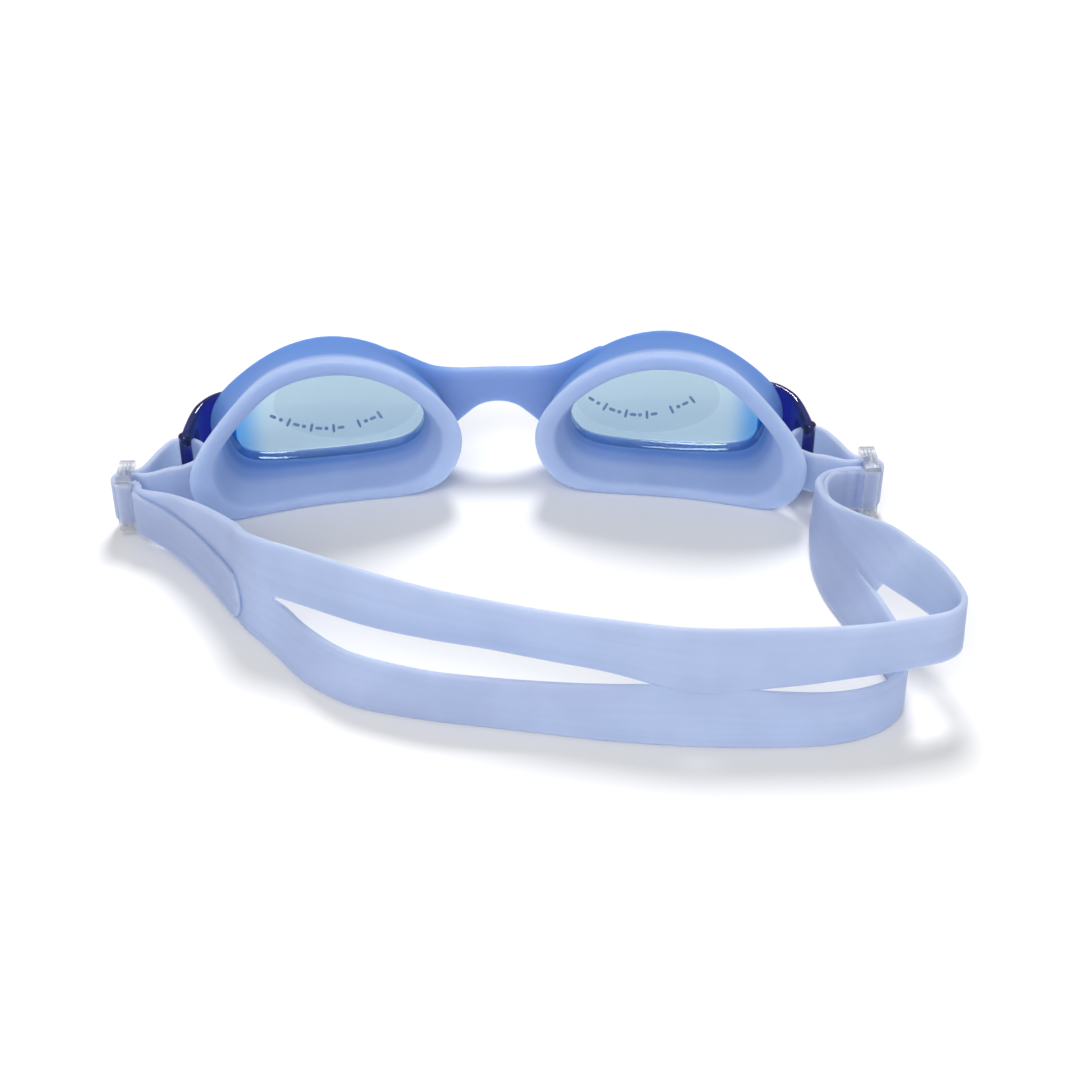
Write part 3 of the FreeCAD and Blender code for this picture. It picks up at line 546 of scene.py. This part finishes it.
def film_piece(lens, side, name):
    """Peel-off film: an ellipse on the lens front whose faces ripple by a few hundredths."""
    middle = np.array([lens.nose_end + 1.4 * MM + lens.film_width / 2,
                       lens.brow_edge + 1.9 * MM + lens.film_height / 2])
    turn = np.linspace(0.0, 2 * math.pi, 160, endpoint=False)
    ellipse = np.stack([np.cos(turn) * lens.film_width, np.sin(turn) * lens.film_height], -1) / 2
    shares = np.concatenate([np.linspace(0.02, 1.0, 26), np.linspace(1.0, 0.02, 26)])
    flat = middle + ellipse * shares[:, None, None]
    front = np.arange(52)[:, None] < 26
    ripple = 0.02 * MM * np.sin(flat[..., 0] * 900 + 2 * np.sin(flat[..., 1] * 500)) * front
    depth = front_y(lens, flat[..., 0]) + lens.proud + np.where(front, lens.film, 0.01 * MM)
    grid = np.stack([flat[..., 0] * side, depth - 0.03 * MM * front + ripple, flat[..., 1]], -1)
    return piece_from_grid(name, placed(grid), False)


def marks_piece(lens, name, arc, pattern):
    """Generic dots and dashes on the film. Each is a flat lozenge: a half length along the arc
    times a rounded cosine, a half height across it times a rounded sine."""
    turn = np.linspace(0.0, 2 * math.pi, 20, endpoint=False)
    power = lambda v: np.sign(v) * np.abs(v) ** 0.6
    share, half_long, half_high = (pattern[:, i:i + 1] for i in range(3))
    bend = np.polyfit(arc[:, 0], arc[:, 1], 2)
    x = arc[0, 0] + (arc[-1, 0] - arc[0, 0]) * share
    z, slope = np.polyval(bend, x), np.polyval(np.polyder(bend), x)
    run = np.sqrt(1 + slope ** 2)
    along, across = half_long * power(np.cos(turn)), half_high * power(np.sin(turn))
    flat_x = x + (along - slope * across) / run
    flat_z = z + (slope * along + across) / run
    depth = front_y(lens, np.abs(flat_x) * MM) / MM + (lens.proud + lens.film) / MM
    rings = [np.stack([flat_x, depth + lift, flat_z], axis=-1) for lift in (-0.02, 0.03)]
    points = np.stack(rings, axis=1).reshape(-1, 3) * MM
    start = np.arange(len(x))[:, None] * 40
    ring = np.arange(20)
    sides = np.stack([start + ring, start + (ring + 1) % 20, start + 20 + (ring + 1) % 20,
                      start + 20 + ring], axis=-1).reshape(-1, 4)
    lids = np.concatenate([start + ring[::-1], start + 20 + ring])
    mesh = bpy.data.meshes.new(name)
    mesh.from_pydata(placed(points).tolist(), [], sides.tolist() + lids.tolist())
    mesh.flip_normals()
    piece = bpy.data.objects.new(name, mesh)
    bpy.context.scene.collection.objects.link(piece)
    return piece


# ---- strap ----------------------------------------------------------------------------------
def band_grid(stations, thickness, samples, grow=0.0, tips=(0.0, 0.0)):
    """Flat band through stations of lower and upper edge. Its section is a rectangle with
    round corners: the half width and half thickness less the corner radius, plus the radius
    times the direction of the corner. A tip narrows as a half circle of the given radius."""
    edges = np.tensordot(open_weights(len(stations), samples), stations, axes=1)
    low, high = edges[:, 0], edges[:, 1]
    middle = (low + high) / 2
    width = np.linalg.norm(high - low, axis=1, keepdims=True)
    up = (high - low) / width
    across = np.cross(np.gradient(middle, axis=0), up)
    across /= np.linalg.norm(across, axis=1, keepdims=True)
    step = np.linalg.norm(np.diff(middle, axis=0), axis=1)
    run = np.concatenate([[0.0], np.cumsum(step)])
    shrink = np.ones(samples)
    for radius, distance in zip(tips, (run, run[-1] - run)):
        if radius > 0:
            left = np.clip(1 - distance / radius, 0.0, 1.0)
            shrink = np.minimum(shrink, np.sqrt(np.maximum(1 - left ** 2, 0.02)))
    half_t = np.broadcast_to(np.asarray(thickness, float), (samples,)) / 2
    half_t = (half_t * np.minimum(1.0, shrink ** 0.3))[:, None]
    half_w = (width[:, 0] / 2 + grow)[:, None] * shrink[:, None]
    corner = np.minimum(half_t * 0.72, half_w * 0.9)
    # shares of the half width, half thickness, and the corner's direction, with three more
    # points along each broad side
    section = []
    for quarter, (to_up, to_across) in enumerate(((1, 1), (-1, 1), (-1, -1), (1, -1))):
        section += [(to_up, to_across, math.cos(angle), math.sin(angle)) for angle in
                    np.linspace(0.0, math.pi / 2, 5) + quarter * math.pi / 2]
        if to_up == to_across:
            section += [(to_up * share, to_across, 0.0, to_across) for share in (0.5, 0.0, -0.5)]
    to_up, to_across, cos, sin = np.array(section, float).T
    along_up = to_up * (half_w - corner) + cos * corner
    along_across = to_across * (half_t - corner) + sin * corner
    grid = (middle[:, None] + up[:, None] * along_up[..., None]
            + across[:, None] * along_across[..., None])
    grid[..., 2] = np.maximum(grid[..., 2], 0.0)
    return grid


def beside(stations, offset, from_low, width):
    """Stations of a band lying beside others: moved along their outer normal."""
    low, high = stations[:, 0], stations[:, 1]
    up = high - low
    up = up / np.linalg.norm(up, axis=1, keepdims=True)
    across = np.cross(np.gradient((low + high) / 2, axis=0), up)
    across /= np.linalg.norm(across, axis=1, keepdims=True)
    start = low + up * from_low + across * offset
    return np.stack([start, start + up * width], axis=1)


def finished_strap(piece):
    """Shades a strap piece, gives it the strap silicone and hides the plain strap in its stead."""
    smooth(piece, 50)
    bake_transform(piece)
    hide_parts("strap")
    piece.data.materials.append(bpy.data.materials.get("strap_silicone") or strap_silicone())


def yoke_grid(strap, stations):
    """Yoke: a band, thicker than the two that leave it, that thins out inside them."""
    sunk = np.clip((np.linspace(0.0, 1.0, 120) - 0.6) / 0.4, 0.0, 1.0) ** 2
    thickness = strap.yoke_thickness - (strap.yoke_thickness - 0.8 * strap.thickness) * sunk
    return band_grid(stations * MM, thickness, 120, grow=(0.25 - 0.5 * sunk) * MM)


def tail_grid(strap, side, stations, from_low):
    """Loose tail pressed against the strap that it came from, with a round tip."""
    bends = [(82.9, -35.0)] if side < 0 else [(80.9, -32.9), (79.2, -33.15)]
    start = [[(side * x, y, SLOT_LOW), (side * x, y, SLOT_LOW + SLOT_WIDTH)]
             for x, y in [(83.2, -32.98)] + bends]
    rest = beside(stations * MM, -side * strap.tail_gap, from_low * MM, strap.end_width)
    return band_grid(np.concatenate([np.array(start) * MM, rest]), strap.thickness * 0.8, 110,
                     tips=(0.0, 0.0052))


# ---- finishes -------------------------------------------------------------------------------
def fill(tree, node, **values):
    """Sets a node's inputs and properties; a value that is an output is linked instead."""
    for key, value in values.items():
        name = key.replace("_", " ")
        if isinstance(value, bpy.types.NodeSocket):
            tree.links.new(value, node.inputs[name])
        elif name in node.inputs:
            node.inputs[name].default_value = value
        else:
            setattr(node, key, value)


def plain_material(name, **values):
    """A material with its shader's sockets set, and the shader and links to add to."""
    material = bpy.data.materials.new(name)
    material.use_nodes = True
    tree = material.node_tree
    shader = tree.nodes["Principled BSDF"]
    fill(tree, shader, **values)
    return material, tree, shader


def add_node(tree, kind, x, y, **values):
    """A shader node at a place on the node sheet."""
    node = tree.nodes.new("ShaderNode" + kind)
    node.location = (x, y)
    fill(tree, node, **values)
    return node


def coordinates(tree, x, y):
    """The piece's own coordinates."""
    return add_node(tree, "TexCoord", x, y).outputs["Object"]


def noise(tree, x, y, source, scale, detail, **values):
    """Soft noise between 0 and 1."""
    node = add_node(tree, "TexNoise", x, y, Vector=source, Scale=scale, Detail=detail, **values)
    return node.outputs["Fac"]


def between(tree, x, y, source, low, high, **values):
    """A number carried from 0 and 1, or from other limits, to low and high."""
    node = add_node(tree, "MapRange", x, y, Value=source, To_Min=low, To_Max=high, **values)
    return node.outputs["Result"]


def bump(tree, x, y, source, strength, distance):
    """Fine relief by a number."""
    node = add_node(tree, "Bump", x, y, Height=source, Strength=strength, Distance=distance)
    return node.outputs["Normal"]


def ramp(tree, x, y, source, stops):
    """Colour by a number between 0 and 1."""
    node = add_node(tree, "ValToRGB", x, y, Fac=source)
    band = node.color_ramp
    band.interpolation = "EASE"
    while len(band.elements) < len(stops):
        band.elements.new(0.5)
    for element, (position, shade) in zip(band.elements, stops):
        element.position = position
        element.color = (*shade, 1.0)
    return node.outputs["Color"]


def times(shade, factor):
    """A colour made darker or lighter."""
    return tuple(min(1.0, part * factor) for part in shade)


def frosting(tree, shader, where, tint, low, high, grain):
    """Frosted skin: fine grain in the bump, cloudy patches in colour and roughness."""
    fine = noise(tree, -900, -400, where, 1500.0, 4.0, Roughness=0.6)
    cloud = noise(tree, -900, 100, where, 70.0, 3.0)
    limits = {"From_Min": 0.3, "From_Max": 0.7}
    shade = between(tree, -600, 250, cloud, 0.94, 1.06, **limits)
    scaled = add_node(tree, "VectorMath", -350, 150, operation="SCALE", Vector=tint, Scale=shade)
    fill(tree, shader, Base_Color=scaled.outputs["Vector"],
         Roughness=between(tree, -350, -150, cloud, low, high, **limits),
         Normal=bump(tree, -350, -450, fine, grain, 0.2 * MM))


# The glow stands for light that the silicone carries into its own shadow.
SILICONE = {"Subsurface_Weight": 1.0, "Subsurface_Radius": (0.8, 0.9, 1.0),
            "Subsurface_Scale": 8 * MM, "IOR": 1.41, "Specular_IOR_Level": 0.3,
            "Emission_Color": (0.22, 0.42, 1.0, 1.0), "Emission_Strength": 0.17}


def frame_silicone():
    """Frosted frame silicone, bluer toward the lens, and deeper toward the top as painted shade.
    """
    finish = bpy.context.scene.goggles_finishes
    material, tree, shader = plain_material("frame_silicone", **SILICONE)
    # The attribute mixes the deeper colour near the lens with painted shade that deepens the top
    # of the cups.
    depth = add_node(tree, "Attribute", -1100, 400, attribute_name="toward_lens_and_top_shade")
    middle = tuple(r * 0.45 + w * 0.55 for r, w in zip(finish.rim, finish.wall))
    tint = ramp(tree, -700, 450, depth.outputs["Fac"],
                [(0.0, tuple(finish.rim)), (0.5, middle), (1.0, tuple(finish.wall))])
    frosting(tree, shader, coordinates(tree, -1150, 0), tint, 0.46, 0.60, 0.12)
    return material


def strap_silicone():
    """Frosted strap silicone with faint drawing lines along the band."""
    shade = bpy.context.scene.goggles_finishes.strap
    material, tree, shader = plain_material("strap_silicone", **SILICONE)
    where = coordinates(tree, -1350, 0)
    lines = add_node(tree, "Mapping", -1150, 500, Vector=where, Scale=(20.0, 20.0, 900.0))
    drawn = noise(tree, -950, 500, lines.outputs["Vector"], 1.0, 2.0)
    tint = ramp(tree, -700, 500, drawn, [(0.3, times(shade, 0.97)), (0.7, times(shade, 1.03))])
    frosting(tree, shader, where, tint, 0.48, 0.62, 0.10)
    return material


def lens_plastic():
    """Polished tinted plastic: pale plate, bluer at the temple, deep wing and post."""
    finish = bpy.context.scene.goggles_finishes
    material, tree, shader = plain_material(
        "lens_plastic", Transmission_Weight=1.0, IOR=1.49, Coat_Weight=0.3,
        Coat_Roughness=0.02)
    where = coordinates(tree, -1300, 0)
    centred = add_node(tree, "Mapping", -1100, 0, Vector=where,
                       Location=(-float(ORIGIN[0]), 0.0, 0.0))
    split = add_node(tree, "SeparateXYZ", -900, 0, Vector=centred.outputs["Vector"])
    out = add_node(tree, "Math", -720, 0, operation="ABSOLUTE", Value=split.outputs["X"])
    share = between(tree, -550, 0, out.outputs["Value"], 0.0, 1.0, From_Min=0.015,
                    From_Max=0.075)
    tint = ramp(tree, -300, 100, share,
                [(0.0, tuple(finish.lens)), (0.67, tuple(finish.lens)),
                 (0.80, tuple(finish.lens_temple)), (0.86, tuple(finish.wing))])
    haze = noise(tree, -700, -300, where, 120.0, 2.0)
    fill(tree, shader, Base_Color=tint, Roughness=between(tree, -400, -300, haze, 0.015, 0.05))
    return material


def slider_plastic():
    """Clear moulded plastic, slightly cloudy."""
    clear = bpy.context.scene.goggles_finishes.slider
    material, tree, shader = plain_material(
        "slider_plastic", Transmission_Weight=0.95, Alpha=0.75, IOR=1.49, Coat_Weight=0.4,
        Coat_Roughness=0.03)
    cloud = noise(tree, -800, 0, coordinates(tree, -1000, 0), 300.0, 3.0)
    tint = ramp(tree, -500, 100, cloud, [(0.3, times(clear, 0.97)), (0.7, tuple(clear))])
    fill(tree, shader, Base_Color=tint,
         Roughness=between(tree, -500, -200, cloud, 0.02, 0.10),
         Normal=bump(tree, -300, -400, cloud, 0.08, 0.2 * MM))
    return material


def film_sheet():
    """Thin clinging film: nearly clear, with faint ripples."""
    material, tree, shader = plain_material(
        "film_sheet", Alpha=0.06, IOR=1.2, Base_Color=(0.80, 0.92, 0.97, 1.0),
        Specular_IOR_Level=0.3)
    ripple = noise(tree, -800, 0, coordinates(tree, -1000, 0), 160.0, 2.0)
    fill(tree, shader, Roughness=between(tree, -300, 0, ripple, 0.1, 0.25),
         Normal=bump(tree, -300, -300, ripple, 0.08, 0.2 * MM))
    return material


def film_print():
    """Flat printed ink with a slightly uneven edge of colour."""
    ink = bpy.context.scene.goggles_finishes.marks
    material, tree, shader = plain_material("film_print", Alpha=0.55, Roughness=0.6)
    spots = noise(tree, -700, 0, coordinates(tree, -900, 0), 2500.0, 1.0)
    tint = ramp(tree, -450, 0, spots, [(0.3, tuple(ink)), (0.7, times(ink, 1.25))])
    fill(tree, shader, Base_Color=tint)
    return material


def finish_node(name, material):
    """Gives a carried-over part its material."""
    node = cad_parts[name]
    node.data.materials.clear()
    node.data.materials.append(material)


# ---- operators ------------------------------------------------------------------------------
class GOGGLES_OT_face_frame(bpy.types.Operator):
    """Mould both eye cups and the nose bridge as one silicone frame"""

    bl_idname = "goggles.face_frame"
    bl_label = "Silicone frame"

    def execute(self, context):
        cup, lens = context.scene.goggles_cups, context.scene.goggles_lenses
        piece = bridge_piece(cup, lens)
        clear = opening(lens, 0.0, 0.0)
        grip = 0.06 * MM
        seat = opening(lens, lens.skirt_wall - grip, lens.skirt_wall - grip)
        far = lambda x: -cup.depth + 0.0 * x
        ahead = lambda x: 3.0 * MM + 0.0 * x
        seat_back = lambda x: front_y(lens, x) - lens.skirt_depth + grip
        tools = []
        for _, side in SIDES:
            tools.append((block_piece("clear_of_lens", clear, ahead, far, side), "DIFFERENCE"))
        for _, side in SIDES:
            tools.append((cup_piece(cup, lens, side), "UNION"))
        piece = run_together(combined(piece, tools), 0.5 * MM, 8)
        piece = combined(piece, [(block_piece("lens_seat", seat, ahead, seat_back, side),
                                  "DIFFERENCE") for _, side in SIDES])
        point_attribute(piece, "toward_lens_and_top_shade", blueness(cup, lens, point_array(piece)))
        smooth(piece, 40)
        piece.data.materials.append(frame_silicone())
        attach(piece, "goggles")
        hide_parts("face_frame")
        return {"FINISHED"}


class GOGGLES_OT_lenses(bpy.types.Operator):
    """Polish the two lenses with their side wings and posts"""

    bl_idname = "goggles.lenses"
    bl_label = "Lenses"

    def execute(self, context):
        lens = context.scene.goggles_lenses
        material = lens_plastic()
        for name, side in SIDES:
            plate = lens_piece(lens, side, "lens_" + name + "_plate")
            post = round_bar(1.45, (POST[0] * side, POST[1]), WING_LOW, WING_HIGH, 0.25)
            wing = combined(wing_piece(lens, side, "lens_" + name + "_wing"),
                            [(window_piece(side), "DIFFERENCE"), (post, "UNION")])
            for piece, angle in ((plate, 75), (wing, 40)):
                smooth(piece, angle)
                piece.data.materials.append(material)
                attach(piece, "goggles")
                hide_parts("lens_" + name)
        return {"FINISHED"}


class GOGGLES_OT_films(bpy.types.Operator):
    """Lay the peel-off films on the lenses and print their generic marks"""

    bl_idname = "goggles.films"
    bl_label = "Protective films"

    def execute(self, context):
        lens = context.scene.goggles_lenses
        clear, ink = film_sheet(), film_print()
        arcs = {"left": np.array([(-55.0, 12.3), (-50.6, 9.5), (-42.0, 7.4), (-34.9, 8.3),
                                  (-28.6, 10.7)]),
                "right": np.array([(22.4, 14.3), (28.8, 11.0), (38.1, 9.4), (43.5, 11.5),
                                   (47.6, 14.2)])}
        # share of the arc, half length, half height, in two groups with a space between
        dash, dot, tick = (0.85, 0.42), (0.48, 0.48), (0.34, 1.2)
        row = [dash, dot, tick, dash, dot, tick, dash, dot, tick, dash]
        first = [(0.02 + 0.068 * i, *kind) for i, kind in enumerate(row)]
        second = [(0.80 + 0.065 * i, *kind) for i, kind in enumerate([tick, dot, dash, tick])]
        pattern = np.array(first + second)
        for name, side in SIDES:
            film = film_piece(lens, side, "film_" + name + "_sheet")
            smooth(film, 40)
            film.data.materials.append(clear)
            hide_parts("protective_film_" + name)
            marks = marks_piece(lens, "film_" + name + "_marks", arcs[name], pattern)
            marks.data.materials.append(ink)
            for piece in (film, marks):
                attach(piece, "film_" + name)
        return {"FINISHED"}


class GOGGLES_OT_sliders(bpy.types.Operator):
    """Finish the two clear sliders"""

    bl_idname = "goggles.sliders"
    bl_label = "Sliders"

    def execute(self, context):
        material = slider_plastic()
        for name, _ in SIDES:
            finish_node("buckle_" + name, material)
        return {"FINISHED"}


class GOGGLES_OT_head_strap(bpy.types.Operator):
    """Mould the two bands behind the head, the yokes that join them and the loose tails"""

    bl_idname = "goggles.head_strap"
    bl_label = "Head strap"

    def execute(self, context):
        strap = context.scene.goggles_strap
        shapes = [band_grid(LOWER_BAND * MM, strap.thickness, 300),
                  yoke_grid(strap, LEFT_YOKE), yoke_grid(strap, RIGHT_YOKE),
                  tail_grid(strap, -1.0, LEFT_YOKE[2:7], 0.4),
                  tail_grid(strap, 1.0, RIGHT_YOKE[3:9], 1.2)]
        upper = band_grid(UPPER_BAND * MM, strap.thickness, 300)
        piece = piece_from_grid("strap_behind_head", placed(upper), False)
        tools = [(piece_from_grid("shape", placed(shape), False), "UNION") for shape in shapes]
        finished_strap(combined(piece, tools))
        return {"FINISHED"}


class GOGGLES_OT_loops(bpy.types.Operator):
    """Thread the single strap ends round the slider bars and the posts"""

    bl_idname = "goggles.loops"
    bl_label = "Strap ends"

    def execute(self, context):
        strap = context.scene.goggles_strap
        bar = np.array([85.36, -30.0])
        turn = np.linspace(0.0, math.pi, 7)[:, None]
        inner = bar + 1.93 * np.concatenate([np.sin(turn), -np.cos(turn)], axis=1)
        outer = bar + 3.17 * np.concatenate([np.sin(turn), np.cos(turn)], axis=1)
        level = np.zeros((7, 1))
        plan = np.concatenate([[(82.4, -32.0, 0.0), (83.9, -31.95, 0.0)],
                               np.concatenate([inner, level], axis=1), POST_PLAN,
                               np.concatenate([outer, level], axis=1),
                               [(83.9, -33.1, 0.0), (82.6, -33.0, 0.0)]])
        low = SLOT_LOW + 1.7 * plan[:, 2]
        high = low + strap.end_width / MM - 0.2
        stations = np.stack([np.stack([plan[:, 0], plan[:, 1], low], axis=1),
                             np.stack([plan[:, 0], plan[:, 1], high], axis=1)], axis=1) * MM
        near = plan[:, 0] > 82.0
        samples = 420
        smooth = open_weights(len(plan), samples)
        thickness = smooth @ np.where(near, strap.layer, strap.thickness)
        for name, side in SIDES:
            grid = band_grid(stations * np.array([side, 1.0, 1.0]), thickness, samples)
            piece = piece_from_grid("strap_loop_" + name, placed(grid), False)
            finished_strap(piece)
        return {"FINISHED"}


class GOGGLES_OT_stage(bpy.types.Operator):
    """Set the pale floor, the soft studio light and the camera"""

    bl_idname = "goggles.stage"
    bl_label = "Stage"

    def execute(self, context):
        scene = context.scene
        across = np.linspace(-4.0, 4.0, 9)
        spread = np.stack(np.meshgrid(across, across, indexing="ij"), axis=-1).reshape(-1, 2)
        points = np.concatenate([spread, np.zeros((len(spread), 1))], axis=1)
        corner = (np.arange(8)[:, None] * 9 + np.arange(8)).ravel()
        faces = np.stack([corner, corner + 9, corner + 10, corner + 1], axis=1)
        mesh = bpy.data.meshes.new("floor")
        mesh.from_pydata(points.tolist(), [], faces.tolist())
        floor = bpy.data.objects.new("floor", mesh)
        scene.collection.objects.link(floor)
        material, _, _ = plain_material("floor_paper", Base_Color=(0.93, 0.93, 0.93, 1.0),
                                        Roughness=0.9, Specular_IOR_Level=0.1)
        mesh.materials.append(material)

        def softbox(name, size, energy, place, aim):
            data = bpy.data.lights.new(name, "AREA")
            data.shape = "DISK"
            data.size = size
            data.energy = energy
            light = bpy.data.objects.new(name, data)
            light.location = place
            light.rotation_mode = "QUATERNION"
            light.rotation_quaternion = (Vector(aim) - Vector(place)).to_track_quat("-Z", "Y")
            scene.collection.objects.link(light)

        softbox("back_light", 0.36, 8.5, (0.08, 0.66, 0.92), (0.0, -0.01, 0.0))
        softbox("front_light", 0.9, 7.0, (-0.20, -0.80, 0.75), (0.0, 0.0, 0.02))

        world = bpy.data.worlds.new("studio")
        world.use_nodes = True
        background = world.node_tree.nodes["Background"]
        background.inputs["Color"].default_value = (1.0, 1.0, 1.0, 1.0)
        background.inputs["Strength"].default_value = 0.34
        scene.world = world
        scene.view_settings.view_transform = "Standard"

        data = bpy.data.cameras.new("camera")
        data.lens = 63.0
        data.sensor_width = 36.0
        data.clip_start, data.clip_end = 0.01, 20.0
        camera = bpy.data.objects.new("camera", data)
        place, aim = Vector((-0.00558, -0.33950, 0.25006)), Vector((0.00657, 0.00843, 0.00629))
        camera.location = place
        camera.rotation_mode = "QUATERNION"
        camera.rotation_quaternion = (aim - place).to_track_quat("-Z", "Y")
        scene.collection.objects.link(camera)
        scene.camera = camera
        return {"FINISHED"}


STEPS = (GOGGLES_OT_stage, GOGGLES_OT_face_frame, GOGGLES_OT_lenses, GOGGLES_OT_films,
         GOGGLES_OT_sliders, GOGGLES_OT_head_strap, GOGGLES_OT_loops)
GROUPS = (("goggles_cups", CupSizes), ("goggles_lenses", LensSizes),
          ("goggles_strap", StrapSizes), ("goggles_finishes", Finishes))


class GOGGLES_PT_panel(bpy.types.Panel):
    """Sizes, colours and building steps"""

    bl_label = "Swim goggles"
    bl_idname = "GOGGLES_PT_panel"
    bl_space_type = "VIEW_3D"
    bl_region_type = "UI"
    bl_category = "Goggles"

    def draw(self, context):
        for name, group in GROUPS:
            box = self.layout.box()
            box.label(text=group.__doc__)
            settings = getattr(context.scene, name)
            for key in group.__annotations__:
                box.prop(settings, key)
        for step in STEPS:
            self.layout.operator(step.bl_idname)


CLASSES = tuple(group for _, group in GROUPS) + STEPS + (GOGGLES_PT_panel,)


def register():
    for item in CLASSES:
        bpy.utils.register_class(item)
    for name, group in GROUPS:
        setattr(bpy.types.Scene, name, PointerProperty(type=group))


def unregister():
    for name, _ in GROUPS:
        delattr(bpy.types.Scene, name)
    for item in reversed(CLASSES):
        bpy.utils.unregister_class(item)


def main():
    register()
    for step in STEPS:
        family, action = step.bl_idname.split(".")
        getattr(getattr(bpy.ops, family), action)()
    bpy.context.view_layer.update()


if __name__ == "__main__":
    main()
